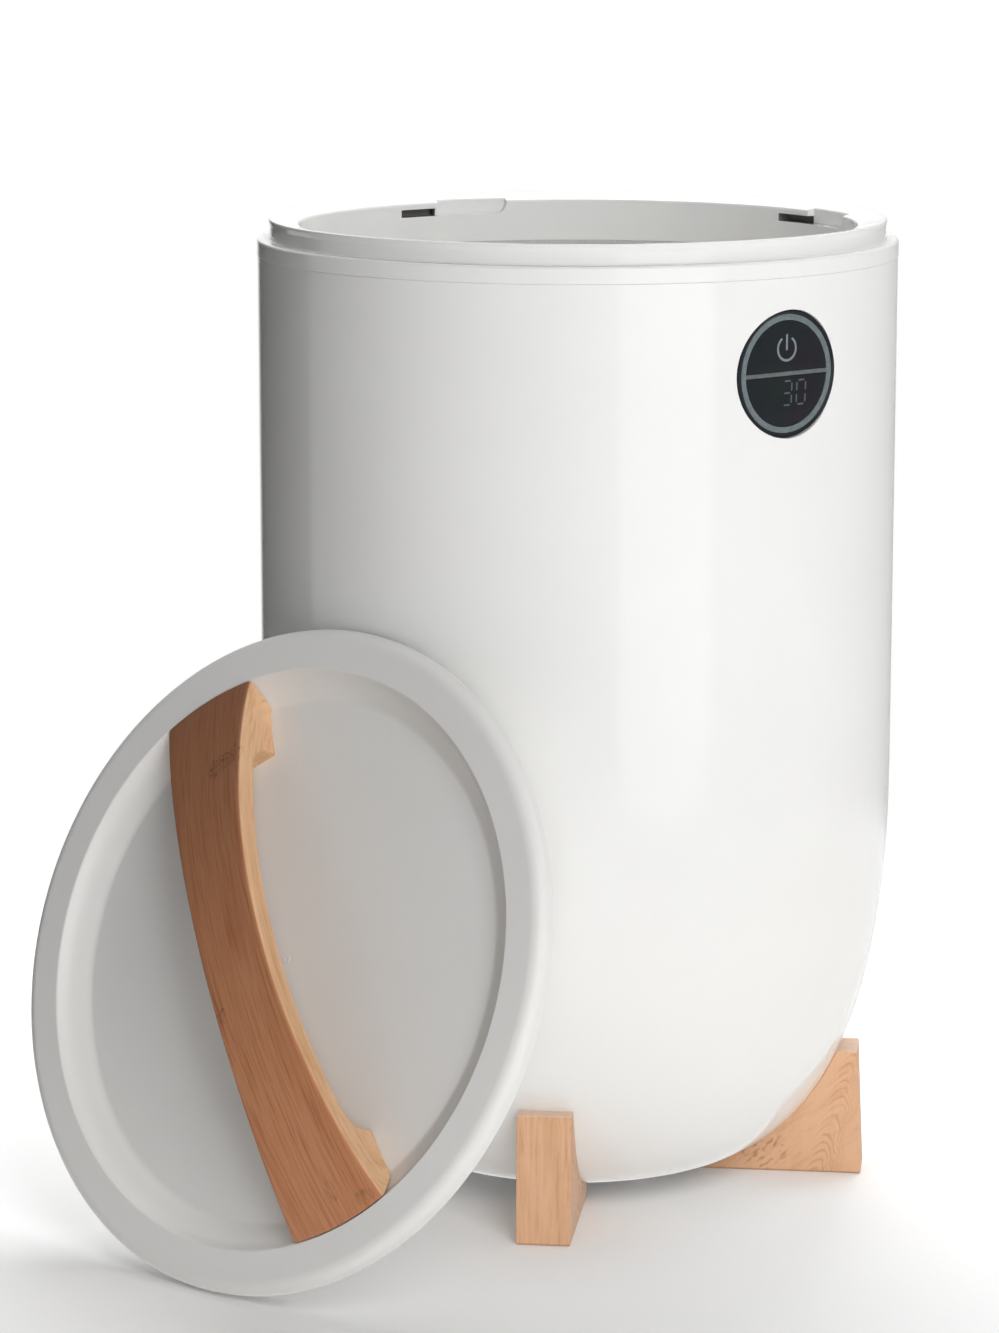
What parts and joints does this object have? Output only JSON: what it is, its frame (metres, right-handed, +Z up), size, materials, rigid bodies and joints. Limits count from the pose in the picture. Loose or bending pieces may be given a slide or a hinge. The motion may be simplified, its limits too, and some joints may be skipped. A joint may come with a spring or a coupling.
{
  "type": "towel warmer",
  "caption": "Heated towel bucket on wedge feet with a round control panel; the round lid with an arched wooden handle is off and leans against its wall.",
  "frame": {"origin": "on the floor under the axis of the bucket", "axes": "+Z up along the bucket's axis, -Y the way the control panel faces, the lid leans on the -X side"},
  "size_m": [0.4461, 0.3643, 0.4883],
  "materials": {
    "shell_white": "high gloss",
    "lid_white": "satin",
    "liner_coated": "satin coating",
    "silicone": "matte",
    "inner_plastic": "matte",
    "black_plastic": "matte",
    "heater_foil": "foil",
    "felt": "felt",
    "steel": "plain",
    "bamboo": "fine sanded",
    "panel_black": "high gloss",
    "panel_grey": "satin",
    "board_green": "solder mask",
    "brass": "plain",
    "cable_jacket": "matte"
  },
  "bodies": {
    "bucket": {"outer_shell": "shell_white", "rim_collar": "shell_white", "inner_liner": "liner_coated", "liner_gasket": "silicone", "liner_support": "inner_plastic", "heater_band": "heater_foil", "floor_heater": "heater_foil", "insulation_sleeve": "felt", "thermostat": "black_plastic", "thermal_fuse": "steel", "base_cover": "inner_plastic", "base_cover_screws": "steel", "foot_front_left": "bamboo", "foot_front_right": "bamboo", "foot_rear_left": "bamboo", "foot_rear_right": "bamboo", "foot_screws": "steel", "panel_housing": "black_plastic", "panel_bezel": "panel_black", "trim_ring": "panel_grey", "display_window": "panel_black", "display_module": "inner_plastic", "control_board": "board_green", "control_board_screws": "steel", "tact_switch": "black_plastic", "panel_screws": "steel", "power_board": "board_green", "power_board_screws": "steel", "power_relay": "black_plastic", "terminal_block": "inner_plastic", "buzzer": "black_plastic", "mains_inlet": "black_plastic", "inlet_pins": "brass", "mains_leads": "cable_jacket", "heater_leads": "cable_jacket", "panel_cable": "cable_jacket", "rim_screws": "steel"},
    "lid": {"lid_top": "lid_white", "lid_inner": "lid_white", "lid_insulation": "felt", "lid_seal": "silicone", "lid_handle": "bamboo", "handle_screws": "steel", "lid_screws": "steel"},
    "key": {"power_key": "panel_black"},
    "switch_stem": {"tact_plunger": "black_plastic"}
  },
  "joints": [
    {"name": "lid_pull_off", "type": "slide", "parent": "bucket", "child": "lid", "axis": [-0.917, -0.1816, 0.3551], "range_m": [0, 0.2]},
    {"name": "power_key_press", "type": "slide", "parent": "bucket", "child": "key", "axis": [0, 1, 0], "range_m": [0, 0.0008], "stiffness_N_per_m": 2000, "springref_m": -0.0003},
    {"name": "switch_stem_press", "type": "slide", "parent": "bucket", "child": "switch_stem", "axis": [0, 1, 0], "range_m": [0, 0.0008]}
  ],
  "couplings": [
    {"joint": "switch_stem_press", "follows": "power_key_press", "ratio": 1}
  ]
}
